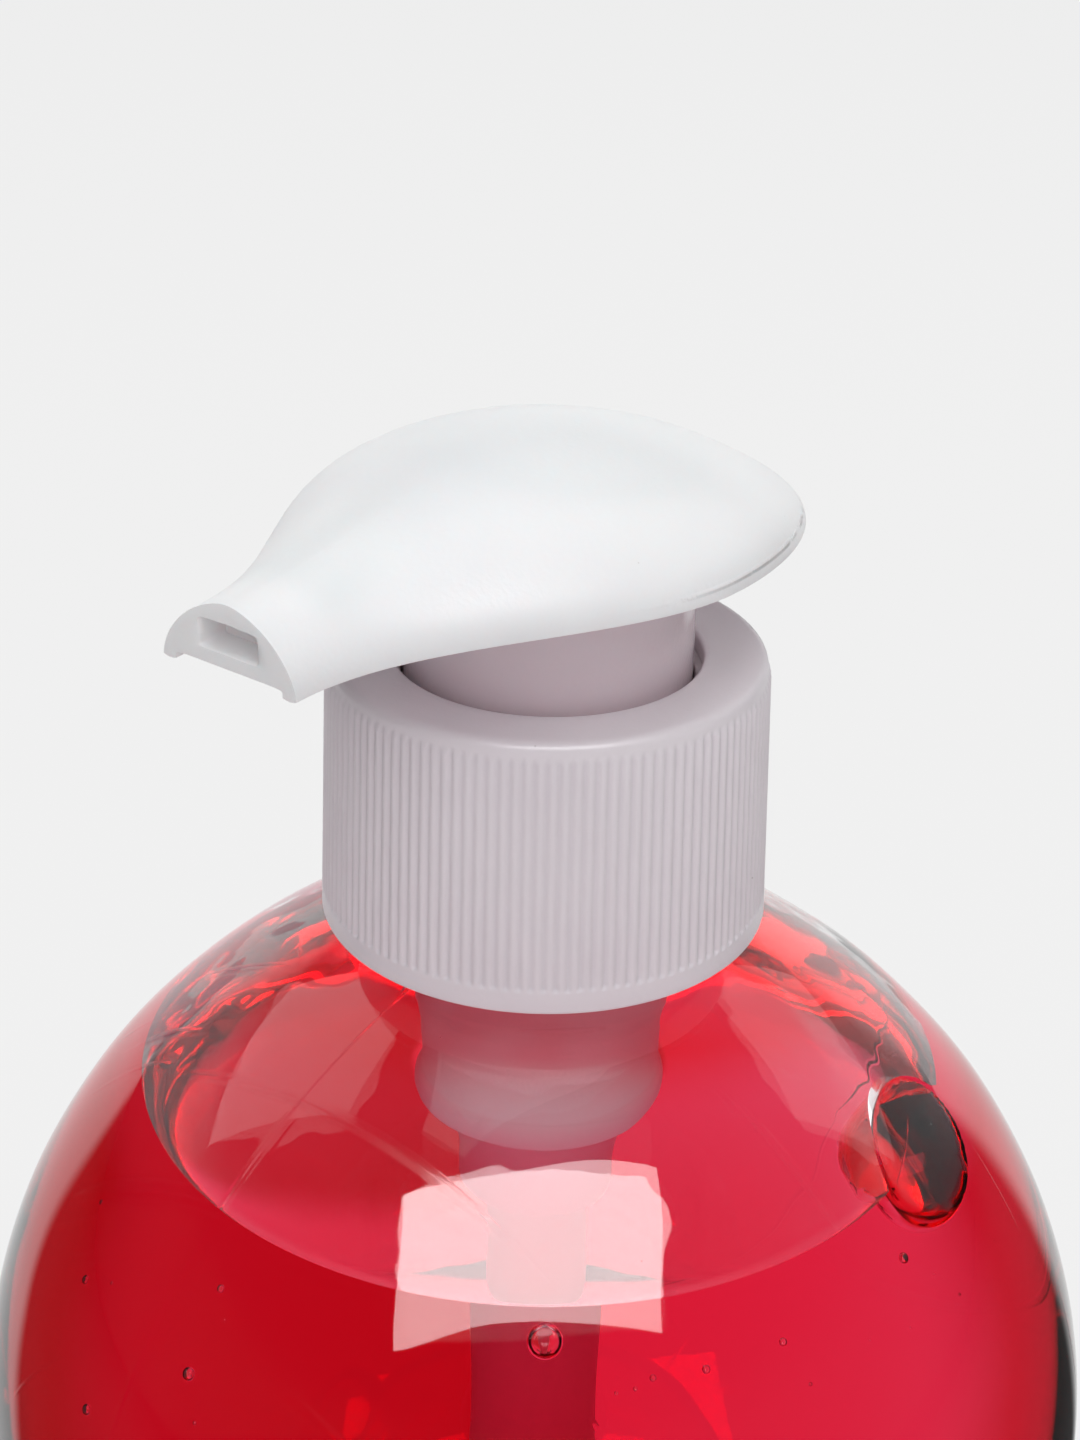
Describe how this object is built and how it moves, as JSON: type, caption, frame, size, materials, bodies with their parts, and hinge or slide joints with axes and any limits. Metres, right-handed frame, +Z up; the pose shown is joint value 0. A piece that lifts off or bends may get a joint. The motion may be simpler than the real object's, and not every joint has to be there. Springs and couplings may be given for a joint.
{
  "type": "liquid soap bottle with lotion pump",
  "caption": "Ball-shaped clear bottle of red liquid soap with a ribbed screw collar and a sprung lotion pump whose leaf-shaped head presses down and turns.",
  "frame": {"origin": "middle of the bottle's base, on the surface that it stands on", "axes": "+Z up along the bottle's and pump's common axis, nozzle towards -Y, +X to the left of someone who faces the nozzle"},
  "size_m": [0.0908, 0.0908, 0.1191],
  "materials": {
    "clear_bottle": "clear glossy blown plastic",
    "red_soap": "clear red liquid",
    "collar_plastic": "satin white moulded plastic with fine ribs",
    "gasket_foam": "matt pale foam liner",
    "housing_plastic": "milky translucent moulded plastic",
    "ball_steel": "polished steel",
    "tube_plastic": "milky extruded tube",
    "spring_steel": "drawn stainless wire",
    "piston_plastic": "soft pale seal plastic",
    "head_plastic": "satin white moulded plastic"
  },
  "bodies": {
    "bottle": {"bottle": "clear_bottle", "liquid_soap": "red_soap"},
    "pump": {"gasket": "gasket_foam", "pump_housing": "housing_plastic", "guide_cap": "housing_plastic", "inlet_ball": "ball_steel", "dip_tube": "tube_plastic", "return_spring": "spring_steel"},
    "collar": {"closure": "collar_plastic"},
    "plunger": {"piston": "piston_plastic"},
    "head": {"actuator": "head_plastic", "stem": "housing_plastic", "outlet_ball": "ball_steel"}
  },
  "joints": [
    {"name": "pump_lift", "type": "slide", "parent": "bottle", "child": "pump", "axis": [0, 0, 1], "range_m": [0, 0.00635]},
    {"name": "closure_turn", "type": "hinge", "parent": "pump", "child": "collar", "pos_m": [0, 0, 0.0906], "axis": [0, 0, 1], "range_deg": [0, 541]},
    {"name": "head_press", "type": "slide", "parent": "pump", "child": "plunger", "axis": [0, 0, -1], "range_m": [0, 0.008], "stiffness_N_per_m": 450, "springref_m": -0.008, "deforming": ["return_spring"]},
    {"name": "head_turn", "type": "hinge", "parent": "plunger", "child": "head", "pos_m": [0, 0, 0.1], "axis": [0, 0, 1], "continuous": true}
  ],
  "couplings": [
    {"joint": "closure_turn", "follows": "pump_lift", "rad_per_m": 1484.3}
  ]
}
